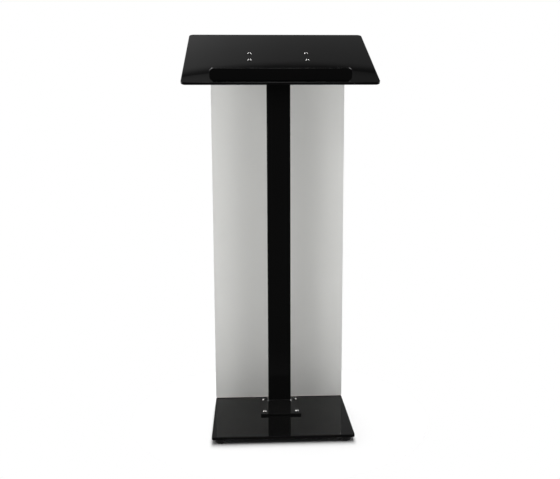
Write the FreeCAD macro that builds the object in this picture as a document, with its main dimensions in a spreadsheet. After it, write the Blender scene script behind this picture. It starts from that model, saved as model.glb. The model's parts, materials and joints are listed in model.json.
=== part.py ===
import FreeCAD, Part
import math
import os

import Sketcher

from FreeCAD import Placement, Rotation, Vector

# Lectern stand: a floor plate on rubber feet, a welded post, a tilted reading board with a
# book stop, and a frosted front panel held off the back of the post.
#
# Frame: +X to the speaker's right, +Y from the speaker to the audience, +Z up. The origin is
# on the floor under the middle of the whole stand. Sizes are millimetres and degrees. A
# "setback" is a distance behind the front edge of the base plate.

DIMENSIONS = {
    # Base plate and its feet.
    "base_width": 400,
    "base_depth": 300,
    "base_thickness": 8,
    "base_corner_radius": 6,
    "foot_diameter": 28,
    "foot_taper": 2,
    "foot_height": 15,
    "foot_inset": 8,
    "foot_edge_radius": 2,
    "foot_recess_diameter": 14,
    "foot_recess_depth": 9,
    "foot_screw_hole": 5.5,
    "foot_tapping_depth": 6,
    # Foot plate, welded to the post and screwed to the base plate.
    "foot_plate_width": 120,
    "foot_plate_depth": 136,
    "foot_plate_thickness": 6,
    "foot_plate_corner_radius": 3,
    "foot_screw_spacing_across": 97,
    "foot_screw_spacing_along": 94,
    # Post: a rectangular tube, mitred at its upper end.
    "post_width": 70,
    "post_depth": 30,
    "post_wall": 3,
    "post_corner_radius": 4,
    "post_front_setback": 250,
    "weld_leg": 3,
    "weld_toe": 0.3,
    # Reading board and the head plate under it.
    "board_width": 542,
    "board_depth": 400,
    "board_thickness": 8,
    "board_corner_radius": 14,
    "board_tilt": 25,
    "board_front_setback": 82,
    "board_front_height": 994,
    "head_plate_width": 200,
    "head_plate_depth": 90,
    "head_plate_thickness": 5,
    "head_plate_corner_radius": 8,
    "head_plate_up_slope": 196,
    "head_screw_spacing_across": 168,
    "head_screw_spacing_along": 56,
    # Book stop, standing on the board.
    "stop_width": 385,
    "stop_height": 36,
    "stop_thickness": 8,
    "stop_corner_radius": 12,
    "stop_edge_margin": 8,
    "stop_screw_spacing": 150,
    "stop_tapping_depth": 10,
    # Front panel and its stand-offs.
    "panel_width": 400,
    "panel_height": 1030,
    "panel_thickness": 5,
    "panel_corner_radius": 3,
    "panel_floor_gap": 1.5,
    "panel_screw_spacing_across": 40,
    "panel_screw_end_margin": 120,
    "spacer_diameter": 20,
    "panel_washer_diameter": 18,
    "panel_washer_thickness": 1.5,
    # Threaded insert in the rear wall of the post.
    "insert_flange_diameter": 13,
    "insert_flange_thickness": 1,
    "insert_body_diameter": 9,
    "insert_bulge_diameter": 12,
    "insert_bulge_length": 4,
    "insert_length": 14.5,
    # M6 hardware: button-head screw, washer and self-locking nut.
    "six_thread": 6,
    "six_clearance": 6.6,
    "six_head_diameter": 10.5,
    "six_head_height": 3.3,
    "six_head_rim_height": 0.8,
    "six_head_crown_diameter": 6.3,
    "six_head_rounding": 1.3,
    "six_socket_width": 4,
    "six_socket_depth": 2.2,
    "six_washer_diameter": 12,
    "six_washer_bore": 6.4,
    "six_washer_thickness": 1.6,
    "six_nut_width": 10,
    "six_nut_hex_height": 4.4,
    "six_nut_height": 6,
    "six_nut_chamfer_diameter": 9.6,
    "six_nut_collar_diameter": 8.6,
    "six_nut_collar_rounding": 0.7,
    "foot_plate_screw_length": 12,
    "board_screw_length": 25,
    "panel_screw_length": 35,
    # M5 hardware: button-head screw and washer in each rubber foot.
    "five_thread": 5,
    "five_head_diameter": 9.5,
    "five_head_height": 2.75,
    "five_head_rim_height": 0.7,
    "five_head_crown_diameter": 5.7,
    "five_head_rounding": 1.1,
    "five_socket_width": 3,
    "five_socket_depth": 1.6,
    "five_washer_diameter": 13,
    "five_washer_bore": 5.3,
    "five_washer_thickness": 1,
    "foot_screw_length": 12,
    # M4 hardware: countersunk screw under the book stop.
    "four_thread": 4,
    "four_clearance": 4.5,
    "four_head_diameter": 8,
    "four_socket_width": 2.5,
    "four_socket_depth": 1.3,
    "stop_screw_length": 16,
    # Angles and tips shared by the hardware.
    "screw_tip_chamfer": 0.4,
    "nut_chamfer_angle": 30,
    "countersink_angle": 90,
    # Broken edges.
    "plate_edge_radius": 0.8,
    "board_edge_radius": 1.5,
    "stop_edge_radius": 0.3,
    "panel_edge_radius": 0.5,
}

doc = FreeCAD.newDocument("lectern_stand")
sheet = doc.addObject("Spreadsheet::Sheet", "dims")
for row, (alias, size) in enumerate(DIMENSIONS.items(), start=1):
    sheet.set(f"A{row}", alias)
    sheet.set(f"B{row}", str(size))
    sheet.setAlias(f"B{row}", alias)
doc.recompute()

subparts = []


# Reading and binding sizes.

def value(expression):
    """Work out an expression on the sheet, such as "dims.base_width / 2", as a number."""
    return float(sheet.evalExpression(expression))


def bind(feature, **expressions):
    """Bind properties of a feature to expressions on the sheet."""
    for name, expression in expressions.items():
        feature.setExpression(name, expression)


# Sketches.

def origin_feature(body, role):
    return next(item for item in body.Origin.OriginFeatures if item.Role == role)


def sketch_on(body, plane, name, lift="0", shift="0"):
    """Attach a sketch to an origin plane, lifted along its normal and shifted up its own Y."""
    sketch = body.newObject("Sketcher::SketchObject", f"{body.Name}_{name}")
    sketch.AttachmentSupport = [(origin_feature(body, plane), "")]
    sketch.MapMode = "FlatFace"
    sketch.AttachmentOffset = Placement(Vector(0, value(shift), value(lift)), Rotation())
    if lift != "0":
        sketch.setExpression("AttachmentOffset.Base.z", lift)
    if shift != "0":
        sketch.setExpression("AttachmentOffset.Base.y", shift)
    return sketch


def constrain(sketch, kind, references, expression):
    """Add a sized constraint and bind it to its expression."""
    index = sketch.addConstraint(Sketcher.Constraint(kind, *references, value(expression)))
    sketch.setExpression(f"Constraints[{index}]", expression)


def fix_point(sketch, geometry, point, across, up):
    """Hold a point of the sketch at a place given by two expressions."""
    vertical_axis, horizontal_axis = -2, -1
    for kind, expression, axis in (
        ("DistanceX", across, vertical_axis),
        ("DistanceY", up, horizontal_axis),
    ):
        if abs(value(expression)) < 1e-9:
            sketch.addConstraint(Sketcher.Constraint("PointOnObject", geometry, point, axis))
        else:
            constrain(sketch, kind, (-1, 1, geometry, point), expression)


def draw_circle(sketch, diameter, across="0", up="0"):
    centre = Vector(value(across), value(up), 0)
    circle = Part.Circle(centre, Vector(0, 0, 1), value(diameter) / 2)
    index = sketch.addGeometry(circle, False)
    fix_point(sketch, index, 3, across, up)
    constrain(sketch, "Diameter", (index,), diameter)


def draw_grid(sketch, diameter, spacing_across, spacing_up, centre_up="0"):
    """Draw four circles at the corners of a rectangle."""
    for side in (-1, 1):
        for end in (-1, 1):
            draw_circle(
                sketch,
                diameter,
                f"{side} * ({spacing_across}) / 2",
                f"{centre_up} + {end} * ({spacing_up}) / 2",
            )


def draw_polygon(sketch, points):
    """Draw a closed outline through points given as pairs of expressions."""
    places = [Vector(value(across), value(up), 0) for across, up in points]
    first = len(sketch.Geometry)
    count = len(points)
    for index in range(count):
        line = Part.LineSegment(places[index], places[(index + 1) % count])
        sketch.addGeometry(line, False)
    for index in range(count):
        following = first + (index + 1) % count
        joint = Sketcher.Constraint("Coincident", first + index, 2, following, 1)
        sketch.addConstraint(joint)
    for index, (across, up) in enumerate(points):
        fix_point(sketch, first + index, 1, across, up)


def draw_hexagon(sketch, width):
    """Draw a regular hexagon about the origin, with its width across the flats."""
    radius = f"({width}) / 2 / cos(30 deg)"
    corners = []
    for index in range(6):
        angle = 60 * index
        corners.append((f"{radius} * cos({angle} deg)", f"{radius} * sin({angle} deg)"))
    draw_polygon(sketch, corners)


def draw_rounded_rectangle(sketch, width, height, radius):
    """Draw a rounded rectangle about the sketch's origin."""
    half_width = value(width) / 2
    half_height = value(height) / 2
    corner = value(radius)
    first = len(sketch.Geometry)
    inner_x = half_width - corner
    inner_y = half_height - corner
    sides = (
        (Vector(-inner_x, -half_height, 0), Vector(inner_x, -half_height, 0)),
        (Vector(half_width, -inner_y, 0), Vector(half_width, inner_y, 0)),
        (Vector(inner_x, half_height, 0), Vector(-inner_x, half_height, 0)),
        (Vector(-half_width, inner_y, 0), Vector(-half_width, -inner_y, 0)),
    )
    for start, end in sides:
        sketch.addGeometry(Part.LineSegment(start, end), False)
    centres = ((inner_x, -inner_y), (inner_x, inner_y), (-inner_x, inner_y), (-inner_x, -inner_y))
    for quarter, (x, y) in enumerate(centres, start=-1):
        circle = Part.Circle(Vector(x, y, 0), Vector(0, 0, 1), corner)
        start_angle = quarter * math.pi / 2
        arc = Part.ArcOfCircle(circle, start_angle, start_angle + math.pi / 2)
        sketch.addGeometry(arc, False)
    for index in range(4):
        line = first + index
        arc = first + 4 + index
        next_line = first + (index + 1) % 4
        direction = "Horizontal" if index % 2 == 0 else "Vertical"
        sketch.addConstraint(Sketcher.Constraint(direction, line))
        sketch.addConstraint(Sketcher.Constraint("Tangent", line, 2, arc, 1))
        sketch.addConstraint(Sketcher.Constraint("Tangent", arc, 2, next_line, 1))
        if index:
            sketch.addConstraint(Sketcher.Constraint("Equal", first + 4, arc))
    sketch.addConstraint(Sketcher.Constraint("Symmetric", first + 4, 3, first + 6, 3, -1, 1))
    constrain(sketch, "Radius", (first + 4,), radius)
    constrain(sketch, "DistanceX", (first + 3, 1, first + 1, 1), width)
    constrain(sketch, "DistanceY", (first, 1, first + 2, 1), height)


# Features.

def new_body(label):
    body = doc.addObject("PartDesign::Body", label)
    body.Label = label
    body.AllowCompound = True
    return body


def pad(body, sketch, length, name="pad"):
    feature = body.newObject("PartDesign::Pad", f"{body.Name}_{name}")
    feature.Profile = sketch
    bind(feature, Length=length)
    return feature


def cut(body, sketch, name, depth=None, along_normal=False, midplane=False):
    """Pocket a sketch, to a depth or through everything, and make sure that it cuts. It goes
    against the sketch's normal unless told otherwise."""
    doc.recompute()
    before = body.Shape.Volume
    feature = body.newObject("PartDesign::Pocket", f"{body.Name}_{name}")
    feature.Profile = sketch
    feature.Reversed = along_normal
    if midplane:
        feature.SideType = "Symmetric"
    if depth is None:
        feature.Type = "ThroughAll"
    else:
        bind(feature, Length=depth)
    doc.recompute()
    if not body.Shape.Volume < before - 1e-6:
        raise RuntimeError(f"{feature.Name} cuts nothing")
    return feature


def countersink(body, sketch, name, diameter, head_diameter):
    """Drill countersunk through holes at a sketch's circles, along the sketch's normal."""
    doc.recompute()
    before = body.Shape.Volume
    feature = body.newObject("PartDesign::Hole", f"{body.Name}_{name}")
    feature.Profile = sketch
    feature.Threaded = False
    feature.DepthType = "ThroughAll"
    feature.Reversed = True
    feature.HoleCutType = "Countersink"
    bind(
        feature,
        Diameter=diameter,
        HoleCutDiameter=head_diameter,
        HoleCutCountersinkAngle="dims.countersink_angle",
    )
    doc.recompute()
    if not body.Shape.Volume < before - 1e-6:
        raise RuntimeError(f"{feature.Name} cuts nothing")
    return feature


def revolve(body, points, name="turned", cutting=False):
    """Turn an outline of (radius, height) points about the body's Z axis."""
    sketch = sketch_on(body, "XZ_Plane", f"{name}_outline")
    draw_polygon(sketch, points)
    kind = "PartDesign::Groove" if cutting else "PartDesign::Revolution"
    feature = body.newObject(kind, f"{body.Name}_{name}")
    feature.Profile = sketch
    feature.ReferenceAxis = (sketch, ["V_Axis"])
    feature.Angle = 360
    return feature


def edges_where(shape, test):
    """Name the edges whose every vertex passes a test."""
    names = []
    for index, edge in enumerate(shape.Edges, start=1):
        if all(test(vertex.Point) for vertex in edge.Vertexes):
            names.append(f"Edge{index}")
    return names


def round_edges(body, radius, test=lambda point: True, name="rounding"):
    """Fillet the edges of the body's last feature that pass a test."""
    doc.recompute()
    base = body.Tip
    feature = body.newObject("PartDesign::Fillet", f"{body.Name}_{name}")
    feature.Base = (base, edges_where(base.Shape, test))
    bind(feature, Radius=radius)
    return feature


def at_height(*expressions):
    """Make a test for points at any of the given heights."""
    heights = [value(expression) for expression in expressions]

    def test(point):
        return any(abs(point.z - height) < 1e-6 for height in heights)

    return test


def repeat_along(body, axis, spacing, count):
    """Repeat the whole piece in a row along one of its origin axes."""
    doc.recompute()
    feature = body.newObject("PartDesign::LinearPattern", f"{body.Name}_along_{axis[0].lower()}")
    feature.TransformMode = "Whole shape"
    feature.Direction = (origin_feature(body, axis), [""])
    feature.Mode = "Spacing"
    feature.Occurrences = count
    bind(feature, Offset=spacing)
    body.Tip = feature


def repeat_grid(body, spacing_across, spacing_up):
    """Repeat the whole piece at the four corners of a rectangle."""
    repeat_along(body, "X_Axis", spacing_across, 2)
    repeat_along(body, "Y_Axis", spacing_up, 2)


# Places.

TILT = "(dims.board_tilt * 1 deg)"
STAND_DEPTH = (
    "(dims.board_front_setback + dims.board_depth * cos(" + TILT + ")"
    " + dims.board_thickness * sin(" + TILT + "))"
)
UNDER_BASE = "dims.foot_height"
ON_BASE = "(dims.foot_height + dims.base_thickness)"
ON_FOOT_PLATE = "(" + ON_BASE + " + dims.foot_plate_thickness)"
POST_SETBACK = "(dims.post_front_setback + dims.post_depth / 2)"
POST_REAR_SETBACK = "(dims.post_front_setback + dims.post_depth)"
FOOT_PLATE_SETBACK = "(" + POST_REAR_SETBACK + " - dims.foot_plate_depth / 2)"
PANEL_FRONT_SETBACK = "(dims.base_depth - dims.panel_thickness)"
# The post's length on its own axis, up to the lower face of the head plate.
POST_LENGTH = (
    "(dims.board_front_height"
    " + (" + POST_SETBACK + " - dims.board_front_setback) * tan(" + TILT + ")"
    " - (dims.board_thickness + dims.head_plate_thickness) / cos(" + TILT + ")"
    " - " + ON_FOOT_PLATE + ")"
)


def standing(setback="0", height="0", across="0", turn=None):
    """Place a piece by its distance behind the base plate's front edge and its height."""
    y = value(setback) - value(STAND_DEPTH) / 2
    return Placement(Vector(value(across), y, value(height)), turn or Rotation())


def on_slope(up_slope="0", above="0", across="0", turn=None):
    """Place a piece on the tilted board: up the slope from the board's front edge, and above
    its upper face."""
    tilt = math.radians(value("dims.board_tilt"))
    slope = Vector(0, math.cos(tilt), math.sin(tilt))
    normal = Vector(0, -math.sin(tilt), math.cos(tilt))
    edge = standing("dims.board_front_setback", "dims.board_front_height").Base
    point = edge + slope * value(up_slope) + normal * value(above)
    point.x = value(across)
    lean = Rotation(Vector(1, 0, 0), value("dims.board_tilt"))
    return Placement(point, lean * (turn or Rotation()))


UPSIDE_DOWN = Rotation(Vector(1, 0, 0), 180)
FACING_AUDIENCE = Rotation(Vector(1, 0, 0), -90)


def finish(piece, placement=None):
    """Place a finished piece and list it as a sub-part."""
    doc.recompute()
    if placement is not None:
        piece.Placement = placement
    subparts.append(piece)
    return piece


# Hardware.

def build_button_screws(label, thread, length, size, spacings, placement):
    """Button-head screws with hexagon sockets: heads above z = 0, shanks below it."""
    body = new_body(label)
    revolve(body, (
        ("0", f"-{length}"),
        (f"{thread} / 2 - dims.screw_tip_chamfer", f"-{length}"),
        (f"{thread} / 2", f"-{length} + dims.screw_tip_chamfer"),
        (f"{thread} / 2", "0"),
        (f"dims.{size}_head_diameter / 2", "0"),
        (f"dims.{size}_head_diameter / 2", f"dims.{size}_head_rim_height"),
        (f"dims.{size}_head_crown_diameter / 2", f"dims.{size}_head_height"),
        ("0", f"dims.{size}_head_height"),
    ))
    head_top = at_height(f"dims.{size}_head_height")
    round_edges(body, f"dims.{size}_head_rounding", head_top)
    socket = sketch_on(body, "XY_Plane", "socket", f"dims.{size}_head_height")
    draw_hexagon(socket, f"dims.{size}_socket_width")
    cut(body, socket, "socket_cut", f"dims.{size}_socket_depth")
    repeat_grid(body, *spacings)
    return finish(body, placement)


def build_washers(label, diameter, bore, thickness, spacings, placement):
    body = new_body(label)
    blank = sketch_on(body, "XY_Plane", "ring")
    draw_circle(blank, diameter)
    draw_circle(blank, bore)
    pad(body, blank, thickness)
    repeat_grid(body, *spacings)
    return finish(body, placement)


def build_lock_nuts(label, spacings, placement):
    """Self-locking hexagon nuts: bearing faces at z = 0, collars on top."""
    body = new_body(label)
    hexagon = sketch_on(body, "XY_Plane", "hexagon")
    draw_hexagon(hexagon, "dims.six_nut_width")
    pad(body, hexagon, "dims.six_nut_hex_height")
    # Each chamfer starts at a circle on the face and runs out past the hexagon's corners.
    inner = "dims.six_nut_chamfer_diameter / 2"
    outer = "dims.six_nut_width"
    fall = f"({outer} - {inner}) * tan(dims.nut_chamfer_angle * 1 deg)"
    top = "dims.six_nut_hex_height"
    doc.recompute()
    lower = ((inner, "0"), (outer, "0"), (outer, fall))
    revolve(body, lower, "lower_chamfer", cutting=True)
    doc.recompute()
    upper = ((inner, top), (outer, top), (outer, f"{top} - {fall}"))
    revolve(body, upper, "upper_chamfer", cutting=True)
    collar = sketch_on(body, "XY_Plane", "collar", top)
    draw_circle(collar, "dims.six_nut_collar_diameter")
    pad(body, collar, f"dims.six_nut_height - {top}", "collar_pad")
    round_edges(body, "dims.six_nut_collar_rounding", at_height("dims.six_nut_height"))
    bore = sketch_on(body, "XY_Plane", "bore")
    draw_circle(bore, "dims.six_thread")
    cut(body, bore, "bore_cut", along_normal=True)
    repeat_grid(body, *spacings)
    return finish(body, placement)


def low_corner(placement, spacing_across, spacing_up):
    """Move a placement from a pattern's centre to its low corner."""
    step = Vector(-value(spacing_across) / 2, -value(spacing_up) / 2, 0)
    return Placement(placement.Base + placement.Rotation.multVec(step), placement.Rotation)


# Base plate and feet.

FOOT_REACH = "(dims.foot_inset + dims.foot_diameter / 2)"
FOOT_SPACING_ACROSS = f"(dims.base_width - 2 * {FOOT_REACH})"
FOOT_SPACING_ALONG = f"(dims.base_depth - 2 * {FOOT_REACH})"
FOOT_PLATE_SCREWS = ("dims.foot_screw_spacing_across", "dims.foot_screw_spacing_along")


def build_base_plate():
    """Steel floor plate, tapped from above for the foot plate and from below for the feet."""
    body = new_body("base_plate")
    outline = sketch_on(body, "XY_Plane", "outline")
    radius = "dims.base_corner_radius"
    draw_rounded_rectangle(outline, "dims.base_width", "dims.base_depth", radius)
    pad(body, outline, "dims.base_thickness")
    round_edges(body, "dims.plate_edge_radius", at_height("0", "dims.base_thickness"))
    tapped = sketch_on(body, "XY_Plane", "post_screw_holes")
    centre = f"{FOOT_PLATE_SETBACK} - dims.base_depth / 2"
    draw_grid(tapped, "dims.six_thread", *FOOT_PLATE_SCREWS, centre)
    cut(body, tapped, "post_screw_tapping", along_normal=True)
    blind = sketch_on(body, "XY_Plane", "foot_screw_holes")
    draw_grid(blind, "dims.five_thread", FOOT_SPACING_ACROSS, FOOT_SPACING_ALONG)
    cut(body, blind, "foot_screw_tapping", "dims.foot_tapping_depth", along_normal=True)
    return finish(body, standing("dims.base_depth / 2", UNDER_BASE))


def build_rubber_foot(label, side, end):
    """Round foot, slightly tapered, with a recess from below for its screw and washer."""
    body = new_body(label)
    lower_radius = "(dims.foot_diameter - dims.foot_taper) / 2"
    recess_radius = "dims.foot_recess_diameter / 2"
    revolve(body, (
        (recess_radius, "0"),
        (lower_radius, "0"),
        ("dims.foot_diameter / 2", "dims.foot_height"),
        ("dims.foot_screw_hole / 2", "dims.foot_height"),
        ("dims.foot_screw_hole / 2", "dims.foot_recess_depth"),
        (recess_radius, "dims.foot_recess_depth"),
    ))
    rim = value(lower_radius)

    def on_lower_rim(point):
        return abs(point.z) < 1e-6 and math.hypot(point.x, point.y) > rim - 1e-3

    round_edges(body, "dims.foot_edge_radius", on_lower_rim)
    across = f"{side} * {FOOT_SPACING_ACROSS} / 2"
    setback = f"dims.base_depth / 2 + {end} * {FOOT_SPACING_ALONG} / 2"
    return finish(body, standing(setback, "0", across))


def build_feet():
    for end, end_name in ((-1, "front"), (1, "rear")):
        for side, side_name in ((-1, "left"), (1, "right")):
            build_rubber_foot(f"rubber_foot_{end_name}_{side_name}", side, end)
    spacings = (FOOT_SPACING_ACROSS, FOOT_SPACING_ALONG)
    washer_height = "dims.foot_recess_depth - dims.five_washer_thickness"
    washers = low_corner(standing("dims.base_depth / 2", washer_height), *spacings)
    build_washers(
        "foot_washers",
        "dims.five_washer_diameter",
        "dims.five_washer_bore",
        "dims.five_washer_thickness",
        spacings,
        washers,
    )
    screws = standing("dims.base_depth / 2", washer_height, turn=UPSIDE_DOWN)
    build_button_screws(
        "foot_screws",
        "dims.five_thread",
        "dims.foot_screw_length",
        "five",
        spacings,
        low_corner(screws, *spacings),
    )


# Post, its end plates and welds.

def build_foot_plate():
    body = new_body("foot_plate")
    outline = sketch_on(body, "XY_Plane", "outline")
    radius = "dims.foot_plate_corner_radius"
    draw_rounded_rectangle(outline, "dims.foot_plate_width", "dims.foot_plate_depth", radius)
    pad(body, outline, "dims.foot_plate_thickness")
    edges = at_height("0", "dims.foot_plate_thickness")
    round_edges(body, "dims.plate_edge_radius", edges)
    holes = sketch_on(body, "XY_Plane", "holes")
    draw_grid(holes, "dims.six_clearance", *FOOT_PLATE_SCREWS)
    cut(body, holes, "drilling", along_normal=True)
    finish(body, standing(FOOT_PLATE_SETBACK, ON_BASE))
    top = standing(FOOT_PLATE_SETBACK, ON_FOOT_PLATE)
    build_button_screws(
        "foot_plate_screws",
        "dims.six_thread",
        "dims.foot_plate_screw_length",
        "six",
        FOOT_PLATE_SCREWS,
        low_corner(top, *FOOT_PLATE_SCREWS),
    )


def build_post_blank(label, hollow):
    """A length of rectangular tube, or of solid bar with the same outline, cut to the
    board's slope at its upper end. Its origin is the middle of its lower end."""
    body = new_body(label)
    outline = sketch_on(body, "XY_Plane", "outline")
    radius = "dims.post_corner_radius"
    draw_rounded_rectangle(outline, "dims.post_width", "dims.post_depth", radius)
    if hollow:
        draw_rounded_rectangle(
            outline,
            "dims.post_width - 2 * dims.post_wall",
            "dims.post_depth - 2 * dims.post_wall",
            "dims.post_corner_radius - dims.post_wall",
        )
    reach = "dims.post_depth"
    rise = f"{reach} * tan({TILT})"
    pad(body, outline, f"{POST_LENGTH} + {rise}")
    mitre = sketch_on(body, "YZ_Plane", "mitre")
    beyond = f"{POST_LENGTH} + 3 * {rise}"
    draw_polygon(mitre, (
        (f"-{reach}", f"{POST_LENGTH} - {rise}"),
        (reach, f"{POST_LENGTH} + {rise}"),
        (reach, beyond),
        (f"-{reach}", beyond),
    ))
    cut(body, mitre, "mitre_cut", midplane=True)
    return body


def panel_screw_rows():
    """Heights of the two rows of panel screws above the floor."""
    lower = f"{ON_BASE} + dims.panel_floor_gap + dims.panel_screw_end_margin"
    upper = (
        f"{ON_BASE} + dims.panel_floor_gap + dims.panel_height"
        " - dims.panel_screw_end_margin"
    )
    return lower, upper


PANEL_SCREWS = (
    "dims.panel_screw_spacing_across",
    "(dims.panel_height - 2 * dims.panel_screw_end_margin)",
)


def build_post():
    body = build_post_blank("post", hollow=True)
    holes = sketch_on(body, "XZ_Plane", "insert_holes")
    for row_height in panel_screw_rows():
        for side in (-1, 1):
            draw_circle(
                holes,
                "dims.insert_body_diameter",
                f"{side} * dims.panel_screw_spacing_across / 2",
                f"{row_height} - {ON_FOOT_PLATE}",
            )
    # The outline lies between the walls, and the cut goes backwards through the rear one.
    cut(body, holes, "insert_drilling", "dims.post_depth")
    return finish(body, standing(POST_SETBACK, ON_FOOT_PLATE))


def build_weld_blank(label, depth, rise, drift):
    """A tapering block whose sloping sides become the faces of a weld bead. It rises from
    z = 0 by `rise`, and its far end is moved by `drift` along Y."""
    body = new_body(label)
    radius = "dims.post_corner_radius"
    ends = (
        ("root", "0", "0", "dims.weld_leg"),
        ("toe", rise, drift, "dims.weld_toe"),
    )
    sections = []
    for name, lift, shift, growth in ends:
        section = sketch_on(body, "XY_Plane", name, lift, shift)
        width = f"dims.post_width + 2 * {growth}"
        draw_rounded_rectangle(section, width, f"{depth} + 2 * {growth}", f"{radius} + {growth}")
        sections.append(section)
    doc.recompute()
    loft = body.newObject("PartDesign::AdditiveLoft", f"{body.Name}_loft")
    loft.Profile = sections[0]
    loft.Sections = sections[1:]
    loft.Ruled = True
    return body


def build_weld(label, blank):
    """Cut the post's outline out of a weld blank, leaving the bead round it."""
    core = build_post_blank(f"{label}_core", hollow=False)
    core.Placement = standing(POST_SETBACK, ON_FOOT_PLATE)
    bead = doc.addObject("Part::Cut", label)
    bead.Label = label
    bead.Base = blank
    bead.Tool = core
    return finish(bead)


def build_welds():
    foot_blank = build_weld_blank(
        "foot_weld_blank", "dims.post_depth", "dims.weld_leg", "0"
    )
    # The post stands flush with the foot plate's rear edge, so no bead runs behind it.
    rear = sketch_on(foot_blank, "XY_Plane", "rear")
    draw_polygon(rear, (
        ("-dims.post_width", "dims.post_depth / 2"),
        ("dims.post_width", "dims.post_depth / 2"),
        ("dims.post_width", "dims.post_depth"),
        ("-dims.post_width", "dims.post_depth"),
    ))
    cut(foot_blank, rear, "rear_cut", along_normal=True)
    foot_blank.Placement = standing(POST_SETBACK, ON_FOOT_PLATE)
    build_weld("post_foot_weld", foot_blank)

    head_blank = build_weld_blank(
        "head_weld_blank",
        f"dims.post_depth / cos({TILT})",
        "dims.weld_leg",
        f"dims.weld_leg * tan({TILT})",
    )
    head = standing(POST_SETBACK, f"{ON_FOOT_PLATE} + {POST_LENGTH}")
    lean = Rotation(Vector(1, 0, 0), value("dims.board_tilt")) * UPSIDE_DOWN
    head_blank.Placement = Placement(head.Base, lean)
    build_weld("post_head_weld", head_blank)


HEAD_SCREWS = ("dims.head_screw_spacing_across", "dims.head_screw_spacing_along")
UNDER_BOARD = "-dims.board_thickness"
UNDER_HEAD_PLATE = "(-dims.board_thickness - dims.head_plate_thickness)"


def build_head_plate():
    """Tilted steel plate that carries the board."""
    body = new_body("head_plate")
    outline = sketch_on(body, "XY_Plane", "outline")
    radius = "dims.head_plate_corner_radius"
    draw_rounded_rectangle(outline, "dims.head_plate_width", "dims.head_plate_depth", radius)
    pad(body, outline, "dims.head_plate_thickness")
    edges = at_height("0", "dims.head_plate_thickness")
    round_edges(body, "dims.plate_edge_radius", edges)
    holes = sketch_on(body, "XY_Plane", "holes")
    draw_grid(holes, "dims.six_clearance", *HEAD_SCREWS)
    cut(body, holes, "drilling", along_normal=True)
    return finish(body, on_slope("dims.head_plate_up_slope", UNDER_HEAD_PLATE))


def build_board_fixings():
    """Screws down through the board and the head plate, with washers and nuts below."""
    up_slope = "dims.head_plate_up_slope"
    build_button_screws(
        "reading_board_screws",
        "dims.six_thread",
        "dims.board_screw_length",
        "six",
        HEAD_SCREWS,
        low_corner(on_slope(up_slope), *HEAD_SCREWS),
    )
    washers = on_slope(up_slope, UNDER_HEAD_PLATE, turn=UPSIDE_DOWN)
    build_washers(
        "board_washers",
        "dims.six_washer_diameter",
        "dims.six_washer_bore",
        "dims.six_washer_thickness",
        HEAD_SCREWS,
        low_corner(washers, *HEAD_SCREWS),
    )
    nut_face = f"{UNDER_HEAD_PLATE} - dims.six_washer_thickness"
    nuts = on_slope(up_slope, nut_face, turn=UPSIDE_DOWN)
    build_lock_nuts("board_nuts", HEAD_SCREWS, low_corner(nuts, *HEAD_SCREWS))


# Reading board and book stop.

STOP_UP_SLOPE = "(dims.stop_edge_margin + dims.stop_thickness / 2)"


def build_reading_board():
    body = new_body("reading_board")
    outline = sketch_on(body, "XY_Plane", "outline")
    radius = "dims.board_corner_radius"
    draw_rounded_rectangle(outline, "dims.board_width", "dims.board_depth", radius)
    pad(body, outline, "dims.board_thickness")
    edges = at_height("0", "dims.board_thickness")
    round_edges(body, "dims.board_edge_radius", edges)
    holes = sketch_on(body, "XY_Plane", "holes")
    draw_grid(
        holes,
        "dims.six_clearance",
        "dims.head_screw_spacing_across",
        "dims.head_screw_spacing_along",
        "dims.head_plate_up_slope - dims.board_depth / 2",
    )
    cut(body, holes, "drilling", along_normal=True)
    stop_holes = sketch_on(body, "XY_Plane", "stop_holes")
    for place in (-1, 0, 1):
        draw_circle(
            stop_holes,
            "dims.four_clearance",
            f"{place} * dims.stop_screw_spacing",
            f"{STOP_UP_SLOPE} - dims.board_depth / 2",
        )
    head = "dims.four_head_diameter"
    countersink(body, stop_holes, "stop_drilling", "dims.four_clearance", head)
    return finish(body, on_slope("dims.board_depth / 2", UNDER_BOARD))


def build_book_stop():
    """Bar with round corners, standing on its long edge and tapped from below."""
    body = new_body("book_stop")
    outline = sketch_on(body, "XZ_Plane", "outline", "-dims.stop_thickness / 2")
    radius = "dims.stop_corner_radius"
    draw_rounded_rectangle(outline, "dims.stop_width", "dims.stop_height", radius)
    pad(body, outline, "dims.stop_thickness")
    round_edges(body, "dims.stop_edge_radius")
    holes = sketch_on(body, "XY_Plane", "holes", "-dims.stop_height / 2")
    for place in (-1, 0, 1):
        draw_circle(holes, "dims.four_thread", f"{place} * dims.stop_screw_spacing")
    cut(body, holes, "tapping", "dims.stop_tapping_depth", along_normal=True)
    return finish(body, on_slope(STOP_UP_SLOPE, "dims.stop_height / 2"))


def build_book_stop_screws():
    """Countersunk screws, their flat heads at z = 0 and their shanks below it."""
    body = new_body("book_stop_screws")
    slope = "tan(dims.countersink_angle / 2 * 1 deg)"
    depth = f"((dims.four_head_diameter - dims.four_thread) / 2 / {slope})"
    revolve(body, (
        ("0", "-dims.stop_screw_length"),
        ("dims.four_thread / 2 - dims.screw_tip_chamfer", "-dims.stop_screw_length"),
        ("dims.four_thread / 2", "-dims.stop_screw_length + dims.screw_tip_chamfer"),
        ("dims.four_thread / 2", f"-{depth}"),
        ("dims.four_head_diameter / 2", "0"),
        ("0", "0"),
    ))
    socket = sketch_on(body, "XY_Plane", "socket")
    draw_hexagon(socket, "dims.four_socket_width")
    cut(body, socket, "socket_cut", "dims.four_socket_depth")
    repeat_along(body, "X_Axis", "dims.stop_screw_spacing", 3)
    under_board = on_slope(STOP_UP_SLOPE, UNDER_BOARD, turn=UPSIDE_DOWN)
    spacings = ("2 * dims.stop_screw_spacing", "0")
    return finish(body, low_corner(under_board, *spacings))


# Front panel and its fixings.

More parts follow.
